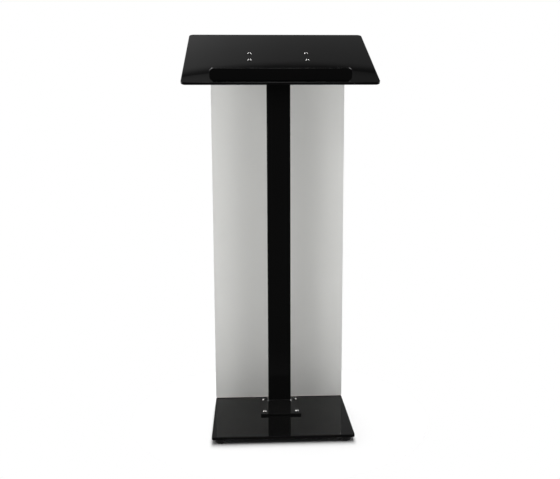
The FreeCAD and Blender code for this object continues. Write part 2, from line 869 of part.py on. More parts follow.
SPACER_LENGTH = (
    f"({PANEL_FRONT_SETBACK} - {POST_REAR_SETBACK} - dims.insert_flange_thickness)"
)


def facing_audience(setback):
    """Place a pattern of panel fixings, heads towards the audience."""
    lower, upper = panel_screw_rows()
    centre = standing(setback, f"(({lower}) + ({upper})) / 2", turn=FACING_AUDIENCE)
    return low_corner(centre, *PANEL_SCREWS)


def build_front_panel():
    body = new_body("front_panel")
    half = "-dims.panel_thickness / 2"
    outline = sketch_on(body, "XZ_Plane", "outline", half)
    radius = "dims.panel_corner_radius"
    draw_rounded_rectangle(outline, "dims.panel_width", "dims.panel_height", radius)
    pad(body, outline, "dims.panel_thickness")

    def on_face(point):
        return abs(abs(point.y) - value("dims.panel_thickness") / 2) < 1e-6

    round_edges(body, "dims.panel_edge_radius", on_face)
    holes = sketch_on(body, "XZ_Plane", "holes", "-dims.panel_thickness")
    draw_grid(holes, "dims.six_clearance", *PANEL_SCREWS)
    cut(body, holes, "drilling", along_normal=True)
    setback = f"{PANEL_FRONT_SETBACK} + dims.panel_thickness / 2"
    middle = f"{ON_BASE} + dims.panel_floor_gap + dims.panel_height / 2"
    return finish(body, standing(setback, middle))


def build_panel_fixings():
    build_washers(
        "panel_spacers",
        "dims.spacer_diameter",
        "dims.six_clearance",
        SPACER_LENGTH,
        PANEL_SCREWS,
        facing_audience(f"{POST_REAR_SETBACK} + dims.insert_flange_thickness"),
    )
    build_washers(
        "panel_washers",
        "dims.panel_washer_diameter",
        "dims.six_washer_bore",
        "dims.panel_washer_thickness",
        PANEL_SCREWS,
        facing_audience("dims.base_depth"),
    )
    build_button_screws(
        "panel_screws",
        "dims.six_thread",
        "dims.panel_screw_length",
        "six",
        PANEL_SCREWS,
        facing_audience("dims.base_depth + dims.panel_washer_thickness"),
    )


def build_rivet_nuts():
    """Threaded inserts: flanges above z = 0, set bodies with their bulges below it."""
    body = new_body("rivet_nuts")
    bore = "dims.six_thread / 2"
    shank = "dims.insert_body_diameter / 2"
    bulge = "dims.insert_bulge_diameter / 2"
    wall = "dims.post_wall"
    revolve(body, (
        (bore, "-dims.insert_length"),
        (shank, "-dims.insert_length"),
        (shank, f"-{wall} - dims.insert_bulge_length"),
        (bulge, f"-{wall} - dims.insert_bulge_length / 2"),
        (bulge, f"-{wall}"),
        (shank, f"-{wall}"),
        (shank, "0"),
        ("dims.insert_flange_diameter / 2", "0"),
        ("dims.insert_flange_diameter / 2", "dims.insert_flange_thickness"),
        (bore, "dims.insert_flange_thickness"),
    ))
    repeat_grid(body, *PANEL_SCREWS)
    return finish(body, facing_audience(POST_REAR_SETBACK))


def check_document():
    """Stop if any object failed or any sub-part isn't a sound shape."""
    doc.recompute()
    for item in doc.Objects:
        if "Invalid" in item.State or "Error" in item.State:
            raise RuntimeError(f"{item.Name} failed: {item.State}")
    for piece in subparts:
        if piece.Shape.isNull() or not piece.Shape.isValid():
            raise RuntimeError(f"{piece.Label} has no sound shape")


def export_subparts():
    os.makedirs("parts", exist_ok=True)
    for piece in subparts:
        piece.Shape.exportStep(f"parts/{piece.Label}.step")
        box = piece.Shape.BoundBox
        print(
            f"{piece.Label:26s} solids {len(piece.Shape.Solids)}"
            f"  volume {piece.Shape.Volume:12.1f}"
            f"  x {box.XMin:8.2f} {box.XMax:8.2f}"
            f"  y {box.YMin:8.2f} {box.YMax:8.2f}"
            f"  z {box.ZMin:8.2f} {box.ZMax:8.2f}"
        )


build_base_plate()
build_feet()
build_foot_plate()
build_post()
build_welds()
build_head_plate()
build_board_fixings()
build_reading_board()
build_book_stop()
build_book_stop_screws()
build_front_panel()
build_panel_fixings()
build_rivet_nuts()
check_document()
export_subparts()
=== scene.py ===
import json
import math

import bmesh
import bpy
from mathutils import Matrix, Vector, noise


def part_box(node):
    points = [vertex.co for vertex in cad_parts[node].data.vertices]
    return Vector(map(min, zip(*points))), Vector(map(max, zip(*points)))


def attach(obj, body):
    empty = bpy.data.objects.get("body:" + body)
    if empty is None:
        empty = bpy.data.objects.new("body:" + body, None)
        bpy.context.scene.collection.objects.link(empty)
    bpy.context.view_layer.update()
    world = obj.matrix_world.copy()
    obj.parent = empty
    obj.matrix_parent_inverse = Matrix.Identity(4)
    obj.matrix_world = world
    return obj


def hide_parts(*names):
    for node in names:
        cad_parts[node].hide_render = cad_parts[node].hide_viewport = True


# Looks of the lectern stand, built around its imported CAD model. Metres, +X to the speaker's
# right, +Y from the speaker to the audience, +Z up, origin on the floor under the middle.

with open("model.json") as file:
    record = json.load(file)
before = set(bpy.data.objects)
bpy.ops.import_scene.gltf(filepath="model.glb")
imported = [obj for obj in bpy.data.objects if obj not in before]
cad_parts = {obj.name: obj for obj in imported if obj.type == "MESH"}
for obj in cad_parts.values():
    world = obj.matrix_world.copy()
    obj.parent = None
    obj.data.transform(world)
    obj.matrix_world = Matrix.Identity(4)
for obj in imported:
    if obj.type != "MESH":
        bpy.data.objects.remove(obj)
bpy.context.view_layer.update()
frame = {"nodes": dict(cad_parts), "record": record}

# Sizes that the frame's boxes don't give.
BOARD_TILT = math.radians(25)
POST_CORNER_RADIUS = 0.004
M6_PITCH = 0.001

# Weld beads. The roundness is the share of a round section in the bead's profile, and the
# rest of it is flat. Each ripple rises to its crest, at a share of its length, and then drops.
WELD_LEG = 0.003
WELD_ROUNDNESS = 0.45
WELD_SECTION_STEPS = 8
WELD_STATION_SPACING = 0.0005
WELD_CORNER_STEPS = 8
WELD_RIPPLE_LENGTH = 0.0021
WELD_RIPPLE_DEPTH = 0.10
WELD_RIPPLE_CREST = 0.8
WELD_RIPPLE_RISE = 0.6
WELD_WANDER = 0.35
WELD_WANDER_SCALE = 90
WELD_UNEVENNESS = 0.03
WELD_UNEVENNESS_SCALE = 300

# Camera: on the speaker's side, a little left of the middle and lower than the board.
CAMERA_SIDE = -0.0925
CAMERA_BEFORE_BASE = 1.894
CAMERA_ABOVE_BASE = 0.851
CAMERA_PITCH = math.radians(-8.87)
CAMERA_YAW = math.radians(2.55)
CAMERA_ROLL = math.radians(-0.21)
CAMERA_LENS_MM = 46.2
CAMERA_SENSOR_MM = 36.0

# Studio.
BACKDROP_RADIUS = 12.0
PALE_FLOOR_RADIUS = 0.45
DARK_FLOOR_RADIUS = 11.5
FLOOR_GAP = 0.0005

# Colours.
ACRYLIC_BLACK = (0.0032, 0.0032, 0.0033)
ACRYLIC_DUST = (0.035, 0.034, 0.033)
COATING_BLACK = (0.0042, 0.0042, 0.0042)
COATING_DUST = (0.05, 0.048, 0.045)
FROSTED_EDGE = (0.95, 0.95, 0.93)
RUBBER_BLACK = (0.010, 0.010, 0.010)
RUBBER_DUST = (0.16, 0.15, 0.14)
PALE_FLOOR_GREY = (0.9, 0.9, 0.9, 1.0)

# The frosted panel: where the painted glow of its outer parts begins and ends, from its
# middle, and where the painted warm highlight along its lower edge ends and begins to fade.
PANEL_GLOW_FROM = 0.08
PANEL_GLOW_TO = 0.20
PANEL_LOW_HIGHLIGHT_END = 0.004
PANEL_LOW_HIGHLIGHT_FULL = 0.002


# Materials. Every pattern is laid out in object coordinates, which are the row frame in
# metres, so a scale of 1000 repeats about once a millimetre.

class Graph:
    """A new material's node tree around one Principled shader."""

    def __init__(self, name):
        self.material = bpy.data.materials.new(name)
        self.material.use_nodes = True
        self.tree = self.material.node_tree
        self.tree.nodes.clear()
        self.output = self.add("ShaderNodeOutputMaterial")
        self.shader = self.add("ShaderNodeBsdfPrincipled")
        self.link(self.shader.outputs["BSDF"], self.output.inputs["Surface"])
        self.place = self.add("ShaderNodeTexCoord").outputs["Object"]

    def add(self, kind, **settings):
        node = self.tree.nodes.new(kind)
        for name, setting in settings.items():
            setattr(node, name, setting)
        return node

    def link(self, source, target):
        self.tree.links.new(source, target)

    def set(self, **sockets):
        """Set the shader's own sockets; underscores in the names stand for spaces."""
        for name, setting in sockets.items():
            self.shader.inputs[name.replace("_", " ")].default_value = setting

    def feed(self, socket, source):
        self.link(source, self.shader.inputs[socket])

    def stretched(self, scale, turn=(0, 0, 0)):
        """Object coordinates, turned and then stretched."""
        node = self.add("ShaderNodeMapping", vector_type="TEXTURE")
        node.inputs["Rotation"].default_value = turn
        node.inputs["Scale"].default_value = scale
        self.link(self.place, node.inputs["Vector"])
        return node.outputs["Vector"]

    def noise(self, scale, detail=2.0, roughness=0.5, place=None):
        node = self.add("ShaderNodeTexNoise")
        node.inputs["Scale"].default_value = scale
        node.inputs["Detail"].default_value = detail
        node.inputs["Roughness"].default_value = roughness
        self.link(place or self.place, node.inputs["Vector"])
        return node.outputs["Fac"]

    def specks(self, scale, share):
        """Round specks, one in some of the cells of a grid of that scale."""
        node = self.add("ShaderNodeTexVoronoi")
        node.inputs["Scale"].default_value = scale
        self.link(self.place, node.inputs["Vector"])
        dots = self.ramp(node.outputs["Distance"], 0.16, 0.08, 0.0, 1.0)
        chosen = self.ramp(self.noise(scale * 0.31, 0.0), 0.5 + share, 0.52 + share, 0.0, 1.0)
        return self.math("MULTIPLY", dots, chosen)

    def ramp(self, source, low, high, out_low, out_high):
        """Map a value from one range to another, clamped."""
        node = self.add("ShaderNodeMapRange")
        node.inputs["From Min"].default_value = low
        node.inputs["From Max"].default_value = high
        node.inputs["To Min"].default_value = out_low
        node.inputs["To Max"].default_value = out_high
        self.link(source, node.inputs["Value"])
        return node.outputs["Result"]

    def math(self, operation, first, second):
        node = self.add("ShaderNodeMath", operation=operation)
        for index, item in enumerate((first, second)):
            if isinstance(item, (int, float)):
                node.inputs[index].default_value = item
            else:
                self.link(item, node.inputs[index])
        return node.outputs["Value"]

    def mix(self, factor, first, second):
        """Blend two colours by a factor."""
        node = self.add("ShaderNodeMix", data_type="RGBA")
        self.link(factor, node.inputs["Factor"])
        for socket, colour in (("A", first), ("B", second)):
            target = next(s for s in node.inputs if s.name == socket and s.type == "RGBA")
            if isinstance(colour, tuple):
                target.default_value = (*colour, 1.0)
            else:
                self.link(colour, target)
        return next(s for s in node.outputs if s.type == "RGBA")

    def split(self, vector):
        node = self.add("ShaderNodeSeparateXYZ")
        self.link(vector, node.inputs["Vector"])
        return node.outputs

    def face_normal(self):
        return self.split(self.add("ShaderNodeNewGeometry").outputs["Normal"])

    def bump(self, height, distance, strength=1.0, below=None):
        node = self.add("ShaderNodeBump")
        node.inputs["Strength"].default_value = strength
        node.inputs["Distance"].default_value = distance
        self.link(height, node.inputs["Height"])
        if below is not None:
            self.link(below, node.inputs["Normal"])
        return node.outputs["Normal"]

    def scratches(self, angle, share):
        """Fine hairline scratches that run at an angle about the vertical axis."""
        along = self.stretched((0.25, 0.0016, 0.02), (0, 0, angle))
        lines = self.ramp(self.noise(1.0, 1.0, place=along), 0.70, 0.74, 0.0, 1.0)
        where = self.ramp(self.noise(7.0), 0.62 - share, 0.72 - share, 0.0, 1.0)
        return self.math("MULTIPLY", lines, where)


def make_black_acrylic():
    """Polished black acrylic sheet: handling haze, hairlines and a little dust."""
    g = Graph("black_acrylic")
    haze = g.ramp(g.noise(11.0, 4.0, 0.6), 0.45, 0.75, 0.0, 1.0)
    hairlines = g.math("MAXIMUM", g.scratches(0.5, 0.10), g.scratches(-0.9, 0.05))
    roughness = g.math("ADD", 0.009, g.math("MULTIPLY", haze, 0.022))
    g.feed("Roughness", g.math("ADD", roughness, g.math("MULTIPLY", hairlines, 0.10)))
    upward = g.ramp(g.face_normal()["Z"], 0.5, 0.9, 0.0, 0.7)
    dust = g.math("MULTIPLY", g.specks(420.0, 0.12), upward)
    g.feed("Base Color", g.mix(dust, ACRYLIC_BLACK, ACRYLIC_DUST))
    g.set(IOR=1.49)
    g.feed("Normal", g.bump(g.noise(14.0, 1.0), 0.0004, 0.05))
    return g.material


def make_base_coating():
    """Gloss black coat over sheet steel, with a faint orange peel and worn-in hairlines."""
    g = Graph("base_coating")
    haze = g.ramp(g.noise(9.0, 4.0, 0.6), 0.40, 0.80, 0.0, 1.0)
    hairlines = g.math("MAXIMUM", g.scratches(0.2, 0.12), g.scratches(1.3, 0.08))
    roughness = g.math("ADD", 0.03, g.math("MULTIPLY", haze, 0.05))
    g.feed("Roughness", g.math("ADD", roughness, g.math("MULTIPLY", hairlines, 0.12)))
    upward = g.ramp(g.face_normal()["Z"], 0.5, 0.9, 0.0, 0.8)
    dust = g.math("MULTIPLY", g.specks(350.0, 0.10), upward)
    g.feed("Base Color", g.mix(dust, COATING_BLACK, COATING_DUST))
    g.set(IOR=1.19)
    g.feed("Normal", g.bump(g.noise(330.0, 1.0), 0.0002, 0.03))
    return g.material


def make_post_coating(name="post_coating", ior=1.17):
    """Gloss black powder coat: patches of slightly different gloss, and orange peel."""
    g = Graph(name)
    patches = g.noise(6.0, 3.0, 0.6)
    g.feed("Roughness", g.ramp(patches, 0.3, 0.7, 0.05, 0.11))
    g.feed("Base Color", g.mix(patches, (0.0054, 0.0054, 0.0054), (0.0070, 0.0070, 0.0070)))
    g.set(IOR=ior)
    g.feed("Normal", g.bump(g.noise(420.0, 2.0, 0.55), 0.0002, 0.05))
    return g.material


def make_frosted_acrylic():
    """Acrylic sheet frosted on both faces, with clearer sawn and flamed edges; painted glow in
    its outer parts and a painted highlight along its lower edge.
    """
    g = Graph("frosted_acrylic")
    across_sheet = g.math("ABSOLUTE", g.face_normal()["Y"], 0.0)
    edge = g.ramp(across_sheet, 0.85, 0.5, 0.0, 1.0)
    cloud = g.noise(5.0, 3.0, 0.55)
    grain = g.noise(1900.0, 2.0, 0.6)
    face_roughness = g.ramp(cloud, 0.3, 0.7, 0.58, 0.66)
    g.feed("Roughness", g.math("SUBTRACT", face_roughness, g.math("MULTIPLY", edge, 0.38)))
    tint = g.mix(cloud, (0.83, 0.83, 0.81), (0.87, 0.87, 0.85))
    # Painted glow: the outer parts are painted paler, standing in for light that enters at the
    # long edges.
    outward = g.math("ABSOLUTE", g.split(g.place)["X"], 0.0)
    painted_edge_glow = g.ramp(outward, PANEL_GLOW_FROM, PANEL_GLOW_TO, 0.0, 1.0)
    tint = g.mix(painted_edge_glow, tint, (0.96, 0.96, 0.94))
    # Painted highlight: a warm pale line along the sheet's lower edge.
    low_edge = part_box("front_panel")[0].z
    highlight_end = low_edge + PANEL_LOW_HIGHLIGHT_END
    highlight_full = low_edge + PANEL_LOW_HIGHLIGHT_FULL
    painted_low_highlight = g.ramp(g.split(g.place)["Z"], highlight_end, highlight_full, 0.0, 1.0)
    tint = g.mix(painted_low_highlight, tint, (1.0, 0.95, 0.92))
    g.feed("Base Color", g.mix(edge, tint, FROSTED_EDGE))
    g.set(IOR=1.49, Transmission_Weight=0.55)
    g.feed("Normal", g.bump(grain, 0.00005, 0.25))
    return g.material


def make_stainless(name="stainless_steel", threads=None):
    """Bright stainless steel, turned and tumbled, with fine marks."""
    g = Graph(name)
    marks = g.noise(2600.0, 3.0, 0.6)
    film = g.noise(160.0, 2.0)
    g.feed("Base Color", g.mix(film, (0.58, 0.57, 0.56), (0.70, 0.69, 0.68)))
    g.set(Metallic=1.0)
    g.feed("Roughness", g.ramp(marks, 0.3, 0.7, 0.09, 0.17))
    normal = g.bump(marks, 0.00003, 0.3)
    if threads:
        normal = threads(g, normal)
    g.feed("Normal", normal)
    return g.material


def make_plated_steel():
    """Zinc-plated steel: soft grey with a faint blue and straw cast."""
    g = Graph("plated_steel")
    cast = g.noise(90.0, 2.0)
    g.feed("Base Color", g.mix(cast, (0.50, 0.52, 0.56), (0.60, 0.59, 0.54)))
    g.set(Metallic=1.0)
    g.feed("Roughness", g.ramp(g.noise(900.0, 3.0, 0.6), 0.3, 0.7, 0.28, 0.42))
    g.feed("Normal", g.bump(g.noise(2200.0, 2.0), 0.00003, 0.3))
    return g.material


def make_spacer_aluminium():
    """Satin anodised aluminium with turning lines round the spacer's axis."""
    g = Graph("spacer_aluminium")
    lines = g.add("ShaderNodeTexWave", bands_direction="Y")
    lines.inputs["Scale"].default_value = 700.0
    lines.inputs["Distortion"].default_value = 0.6
    g.link(g.place, lines.inputs["Vector"])
    tone = g.noise(300.0, 2.0)
    g.feed("Base Color", g.mix(tone, (0.62, 0.62, 0.63), (0.72, 0.72, 0.73)))
    g.set(Metallic=1.0)
    g.feed("Roughness", g.ramp(tone, 0.3, 0.7, 0.30, 0.42))
    g.feed("Normal", g.bump(lines.outputs["Fac"], 0.00003, 0.4))
    return g.material


def make_nylon():
    """Natural nylon: off-white, waxy and slightly translucent."""
    g = Graph("washer_nylon")
    tone = g.noise(240.0, 2.0)
    g.feed("Base Color", g.mix(tone, (0.60, 0.59, 0.54), (0.70, 0.69, 0.65)))
    g.feed("Roughness", g.ramp(tone, 0.3, 0.7, 0.38, 0.52))
    g.set(Subsurface_Weight=0.25, Subsurface_Radius=(0.002, 0.002, 0.0018))
    g.feed("Normal", g.bump(g.noise(1500.0), 0.00004, 0.25))
    return g.material


def make_rubber():
    """Moulded black rubber with a fine grain and pale dust caught on it."""
    g = Graph("foot_rubber")
    grain = g.noise(1100.0, 3.0, 0.65)
    dust = g.specks(520.0, 0.06)
    g.feed("Base Color", g.mix(dust, RUBBER_BLACK, RUBBER_DUST))
    g.feed("Roughness", g.ramp(grain, 0.3, 0.7, 0.46, 0.70))
    g.feed("Normal", g.bump(grain, 0.0002, 0.35))
    return g.material


def board_screw_threads(g, normal):
    """Threads on the screw ends that come out below the head plate's nuts."""
    turned = g.add("ShaderNodeMapping", vector_type="POINT")
    turned.inputs["Rotation"].default_value = (-BOARD_TILT, 0, 0)
    g.link(g.place, turned.inputs["Vector"])
    along_axis = g.split(turned.outputs["Vector"])["Z"]
    phase = g.math("MULTIPLY", along_axis, 2 * math.pi / M6_PITCH)
    wave = g.math("SINE", phase, 0.0)
    threaded = g.math("LESS_THAN", along_axis, head_plate_along_normal())
    ridge = g.math("MULTIPLY", wave, threaded)
    return g.bump(ridge, 0.0004, 1.0, normal)


def head_plate_along_normal():
    """Distance of the head plate's middle from the origin, along the board's normal."""
    low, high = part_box("head_plate")
    middle = (low + high) / 2
    return -middle.y * math.sin(BOARD_TILT) + middle.z * math.cos(BOARD_TILT)


# Weld beads.

def post_outline():
    """Points and outward normals round the post's outline, seen from above, starting and
    ending at the middle of its rear face."""
    low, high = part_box("post")
    radius = POST_CORNER_RADIUS
    middle = (low + high) / 2
    half_x = (high.x - low.x) / 2 - radius
    half_y = (high.y - low.y) / 2 - radius
    corners = (
        (Vector((-half_x, half_y)), 90),
        (Vector((-half_x, -half_y)), 180),
        (Vector((half_x, -half_y)), 270),
        (Vector((half_x, half_y)), 360),
    )
    rear = Vector((0, half_y + radius))
    turns = [(rear, Vector((0, 1)))]
    for centre, start in corners:
        for step in range(WELD_CORNER_STEPS + 1):
            angle = math.radians(start + 90 * step / WELD_CORNER_STEPS)
            normal = Vector((math.cos(angle), math.sin(angle)))
            turns.append((centre + normal * radius, normal))
    turns.append((rear, Vector((0, 1))))
    points = []
    for (start, start_normal), (end, end_normal) in zip(turns, turns[1:]):
        count = max(1, round((end - start).length / WELD_STATION_SPACING))
        for step in range(count):
            share = step / count
            normal = start_normal.lerp(end_normal, share).normalized()
            points.append((start.lerp(end, share), normal))
    offset = Vector((middle.x, middle.y))
    return [(point + offset, normal) for point, normal in points]


def ripple(length, seed):
    """Height of the bead's scale pattern at a length along it, about 1."""
    wander = WELD_WANDER * noise.noise((length * WELD_WANDER_SCALE, seed, 0))
    phase = (length / WELD_RIPPLE_LENGTH + wander) % 1.0
    if phase < WELD_RIPPLE_CREST:
        height = phase ** WELD_RIPPLE_RISE
    else:
        crest = WELD_RIPPLE_CREST ** WELD_RIPPLE_RISE
        height = (1.0 - phase) / (1.0 - WELD_RIPPLE_CREST) * crest
    unevenness = WELD_UNEVENNESS * noise.noise((length * WELD_UNEVENNESS_SCALE, seed, 1))
    return 1.0 - WELD_RIPPLE_DEPTH * (1.0 - height) + unevenness


def bead_section(root, along_plate, along_post, size):
    """Points round one section of a bead: its face, from plate to post, and its root."""
    points = []
    for step in range(WELD_SECTION_STEPS + 1):
        angle = math.pi / 2 * step / WELD_SECTION_STEPS
        across = math.cos(angle)
        up = math.sin(angle)
        flat = 1.0 / (across + up)
        reach = size * ((1.0 - WELD_ROUNDNESS) * flat + WELD_ROUNDNESS)
        if step in (0, WELD_SECTION_STEPS):
            reach = WELD_LEG
        points.append(root + (along_plate * across + along_post * up) * reach)
    points.append(root)
    return points


def build_bead(name, stations, closed):
    """A weld bead from stations of (root, direction along the plate, direction along the
    post): a convex fillet with ripples along its length."""
    mesh = bmesh.new()
    rings = []
    length = 0.0
    previous = stations[0][0]
    for root, along_plate, along_post in stations:
        length += (root - previous).length
        previous = root
        size = WELD_LEG * ripple(length, len(name))
        section = bead_section(root, along_plate, along_post, size)
        rings.append([mesh.verts.new(point) for point in section])
    pairs = list(zip(rings, rings[1:]))
    if closed:
        pairs.append((rings[-1], rings[0]))
    sides = len(rings[0])
    for first, second in pairs:
        for index in range(sides):
            following = (index + 1) % sides
            mesh.faces.new((first[index], first[following], second[following], second[index]))
    if not closed:
        mesh.faces.new(rings[0])
        mesh.faces.new(reversed(rings[-1]))
    bmesh.ops.recalc_face_normals(mesh, faces=mesh.faces)
    data = bpy.data.meshes.new(name)
    mesh.to_mesh(data)
    mesh.free()
    for face in data.polygons:
        face.use_smooth = True
    piece = bpy.data.objects.new(name, data)
    bpy.context.scene.collection.objects.link(piece)
    return piece


def build_foot_bead():
    """The bead on three sides of the post, where it stands on the foot plate."""
    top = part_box("foot_plate")[1].z
    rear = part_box("post")[1].y
    stations = []
    for point, normal in post_outline():
        if point.y < rear - POST_CORNER_RADIUS * 0.5:
            root = Vector((point.x, point.y, top))
            stations.append((root, Vector((normal.x, normal.y, 0)), Vector((0, 0, 1))))
    return build_bead("foot_weld_bead", stations, closed=False)


def build_head_bead():
    """The bead all round the post, under the tilted head plate."""
    post_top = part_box("post")[1]
    stations = []
    for point, normal in post_outline():
        height = post_top.z - (post_top.y - point.y) * math.tan(BOARD_TILT)
        root = Vector((point.x, point.y, height))
        outward = Vector((normal.x, normal.y, normal.y * math.tan(BOARD_TILT))).normalized()
        stations.append((root, outward, Vector((0, 0, -1))))
    return build_bead("head_weld_bead", stations, closed=True)


# Studio.

def stage_material(name, kind):
    """A one-shader material for the studio; gives the material, its tree and the shader."""
    material = bpy.data.materials.new(name)
    material.use_nodes = True
    tree = material.node_tree
    tree.nodes.clear()
    output = tree.nodes.new("ShaderNodeOutputMaterial")
    surface = tree.nodes.new(kind)
    tree.links.new(surface.outputs[0], output.inputs["Surface"])
    material.cycles.emission_sampling = "NONE"
    return material, tree, surface


def see_through_from_below(tree, surface):
    """Let the floor show only from above, so that the stand can be seen from underneath."""
    geometry = tree.nodes.new("ShaderNodeNewGeometry")
    clear = tree.nodes.new("ShaderNodeBsdfTransparent")
    mix = tree.nodes.new("ShaderNodeMixShader")
    output = next(node for node in tree.nodes if node.type == "OUTPUT_MATERIAL")
    tree.links.new(geometry.outputs["Backfacing"], mix.inputs["Fac"])
    tree.links.new(surface.outputs[0], mix.inputs[1])
    tree.links.new(clear.outputs[0], mix.inputs[2])
    tree.links.new(mix.outputs[0], output.inputs["Surface"])


def fill_ramp(ramp, stops):
    """Set a colour ramp's stops to greys, from pairs of a position and a level."""
    while len(ramp.elements) < len(stops):
        ramp.elements.new(1.0)
    for element, (position, level) in zip(ramp.elements, stops):
        element.position = position
        element.color = (level, level, level, 1.0)


# Painted light: glow of the floor that the stand reflects, standing in for lamp light and
# shade on that floor, by distance from the speaker's side (at the left) to the audience's
# side, in metres from the middle of the stand.
FLOOR_GLOW_STOPS = (
    (-3.0, 0.045),
    (-1.2, 0.05),
    (-0.75, 0.03),
    (-0.55, 0.05),
    (-0.40, 0.16),
    (-0.27, 0.25),
    (-0.20, 0.17),
    (0.15, 0.30),
    (0.60, 0.85),
    (1.50, 1.25),
    (3.0, 1.25),
)


def paint_floor_glow(tree, surface):
    """Painted light: a glow from the floor that changes from the speaker's side to the
    audience's, in place of light and shade on it.
    """
    reach = FLOOR_GLOW_STOPS[-1][0]
    place = tree.nodes.new("ShaderNodeTexCoord")
    split = tree.nodes.new("ShaderNodeSeparateXYZ")
    along = tree.nodes.new("ShaderNodeMapRange")
    glow = tree.nodes.new("ShaderNodeValToRGB")
    along.inputs["From Min"].default_value = -reach
    along.inputs["From Max"].default_value = reach
    fill_ramp(glow.color_ramp, [(0.5 + y / (2 * reach), level) for y, level in FLOOR_GLOW_STOPS])
    tree.links.new(place.outputs["Object"], split.inputs[0])
    tree.links.new(split.outputs["Y"], along.inputs["Value"])
    tree.links.new(along.outputs["Result"], glow.inputs["Fac"])
    tree.links.new(glow.outputs["Color"], surface.inputs["Color"])


def stage_object(name, mesh, material, collection):
    """A piece of the studio from a bmesh, which it uses up."""
    data = bpy.data.meshes.new(name)
    mesh.to_mesh(data)
    mesh.free()
    data.materials.append(material)
    piece = bpy.data.objects.new(name, data)
    collection.objects.link(piece)
    return piece


def hide_from_all_but_camera(piece):
    piece.visible_diffuse = False
    piece.visible_glossy = False
    piece.visible_transmission = False
    piece.visible_volume_scatter = False
    piece.visible_shadow = False


def build_stage():
    """A white dome and floor for the camera, and a darker floor that the stand reflects, whose
    glow is painted light.
    """
    collection = bpy.data.collections.new("stage")
    bpy.context.scene.collection.children.link(collection)

    white = stage_material("backdrop", "ShaderNodeEmission")[0]
    mesh = bmesh.new()
    bmesh.ops.create_uvsphere(mesh, u_segments=48, v_segments=24, radius=BACKDROP_RADIUS)
    hide_from_all_but_camera(stage_object("backdrop", mesh, white, collection))

    pale, tree, surface = stage_material("floor_pale", "ShaderNodeBsdfDiffuse")
    surface.inputs["Color"].default_value = PALE_FLOOR_GREY
    see_through_from_below(tree, surface)
    mesh = bmesh.new()
    bmesh.ops.create_circle(mesh, cap_ends=True, segments=64, radius=PALE_FLOOR_RADIUS)
    hide_from_all_but_camera(stage_object("floor", mesh, pale, collection))

    # Painted light: the reflected floor glows, standing in for lamp light and shade on it.
    dark, tree, surface = stage_material("floor_reflected", "ShaderNodeEmission")
    paint_floor_glow(tree, surface)
    mesh = bmesh.new()
    bmesh.ops.create_circle(mesh, cap_ends=True, segments=64, radius=DARK_FLOOR_RADIUS)
    for vertex in mesh.verts:
        vertex.co.z = -FLOOR_GAP
    stage_object("floor_reflected", mesh, dark, collection).visible_camera = False
    return collection


def add_area_light(name, place, target, width, height, radiance):
    """A softbox at a place, facing a target; its radiance is the brightness of its face."""
    data = bpy.data.lights.new(name, "AREA")
    data.shape = "RECTANGLE"
    data.size = width
    data.size_y = height
    data.energy = radiance * math.pi * width * height
    light = bpy.data.objects.new(name, data)
    light.location = place
    aim = Vector(target) - Vector(place)
    light.rotation_euler = aim.to_track_quat("-Z", "Y").to_euler()
    light.visible_camera = False
    bpy.context.scene.collection.objects.link(light)
    return light


# Where a softbox that fades is dark and where it is at full strength, from its middle, in
# shares of its width and height.
SOFTBOX_EDGE = 0.5
SOFTBOX_FULL = 0.12


def fade_towards_edges(light):
    """Make a softbox brightest in its middle and dark at its edges."""
    light.data.use_nodes = True
    tree = light.data.node_tree
    place = tree.nodes.new("ShaderNodeNewGeometry")
    split = tree.nodes.new("ShaderNodeSeparateXYZ")
    tree.links.new(place.outputs["Parametric"], split.inputs[0])
    shares = []
    for along in split.outputs[:2]:
        from_middle = tree.nodes.new("ShaderNodeMath")
        from_middle.operation = "SUBTRACT"
        from_middle.inputs[1].default_value = 0.5
        distance = tree.nodes.new("ShaderNodeMath")
        distance.operation = "ABSOLUTE"
        share = tree.nodes.new("ShaderNodeMapRange")
        share.interpolation_type = "SMOOTHSTEP"
        share.inputs["From Min"].default_value = SOFTBOX_EDGE
        share.inputs["From Max"].default_value = SOFTBOX_FULL
        tree.links.new(along, from_middle.inputs[0])
        tree.links.new(from_middle.outputs[0], distance.inputs[0])
        tree.links.new(distance.outputs[0], share.inputs["Value"])
        shares.append(share.outputs["Result"])
    both = tree.nodes.new("ShaderNodeMath")
    both.operation = "MULTIPLY"
    tree.links.new(shares[0], both.inputs[0])
    tree.links.new(shares[1], both.inputs[1])
    emission = next(node for node in tree.nodes if node.type == "EMISSION")
    tree.links.new(both.outputs[0], emission.inputs["Strength"])


def lit_collection(name, left_out):
    """A collection for light linking that takes in all but some collections."""
    collection = bpy.data.collections.new(name)
    for other in left_out:
        collection.children.link(other)
    for child in collection.collection_children:
        child.light_linking.link_state = "EXCLUDE"
    return collection


def linked_collection(name, pieces):
    """A collection for light linking that takes in only these pieces."""
    collection = bpy.data.collections.new(name)
    for piece in pieces:
        collection.objects.link(piece)
    return collection


# Each lamp's place, target, width, height and radiance. The two high sides, without the
# radiance, serve for the metal and for the welds.
SIDE_LAMP_TARGET = (0.0, 0.0, 0.7)
SIDE_LAMPS = {
    "key_left": ((-2.2, -0.55, 1.2), SIDE_LAMP_TARGET, 1.2, 1.5, 11.5),
    "fill_right": ((2.2, -0.55, 0.95), SIDE_LAMP_TARGET, 1.2, 1.5, 7.8),
}
OVERHEAD_LAMP = ((0.04, -0.55, 2.6), (0.04, -0.1, 1.05), 1.0, 1.0, 9.0)
FLOOR_LAMP = ((0.0, 0.2, 3.2), (0.0, 0.2, 0.0), 1.6, 6.5, 4.8)
HIGH_LEFT = ((-2.2, 0.2, 1.8), (0.0, 0.0, 0.1), 1.4, 1.2)
HIGH_RIGHT = ((2.2, 0.2, 1.8), (0.0, 0.0, 0.1), 1.4, 1.2)
METAL_GLINTS = {
    "glint_left": (*HIGH_LEFT, 4.5),
    "glint_right": (*HIGH_RIGHT, 2.5),
}
